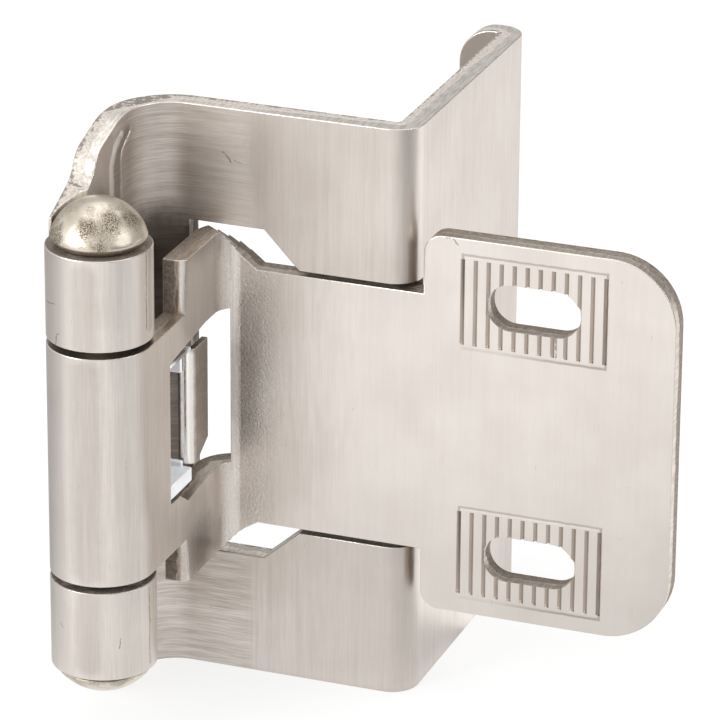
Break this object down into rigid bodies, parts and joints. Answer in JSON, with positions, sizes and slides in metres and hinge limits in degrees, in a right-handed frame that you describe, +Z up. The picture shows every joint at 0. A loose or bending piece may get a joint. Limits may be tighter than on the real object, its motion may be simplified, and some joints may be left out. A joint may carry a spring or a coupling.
{
  "type": "full wrap hinge",
  "caption": "Self-closing full wrap cabinet hinge: two folded sheet wings on one riveted pin, with a spring and a cam follower.",
  "frame": {"origin": "middle of the two screw holes, on the side of the edge plate that seats on the face frame's inner edge", "axes": "+Z up along the pin, -X into the face frame, -Y from the flange towards the door"},
  "size_m": [0.0384, 0.039, 0.0404],
  "materials": {
    "satin_nickel": "satin",
    "bright_nickel": "gloss",
    "spring_steel": "satin",
    "white_nylon": "satin"
  },
  "bodies": {
    "frame": {"frame_wing": "satin_nickel", "hinge_pin": "bright_nickel"},
    "door": {"door_wing": "satin_nickel", "closer_spring": "spring_steel"},
    "follower": {"cam_follower": "white_nylon"}
  },
  "joints": [
    {"name": "door_swing", "type": "hinge", "parent": "frame", "child": "door", "pos_m": [-0.0153, -0.024, 0], "axis": [0, 0, -1], "range_deg": [0, 180]},
    {"name": "follower_travel", "type": "slide", "parent": "door", "child": "follower", "axis": [0, 1, 0], "range_m": [0, 0.00035], "stiffness_N_per_m": 200, "springref_m": -0.0005, "deforming": ["closer_spring"]}
  ]
}
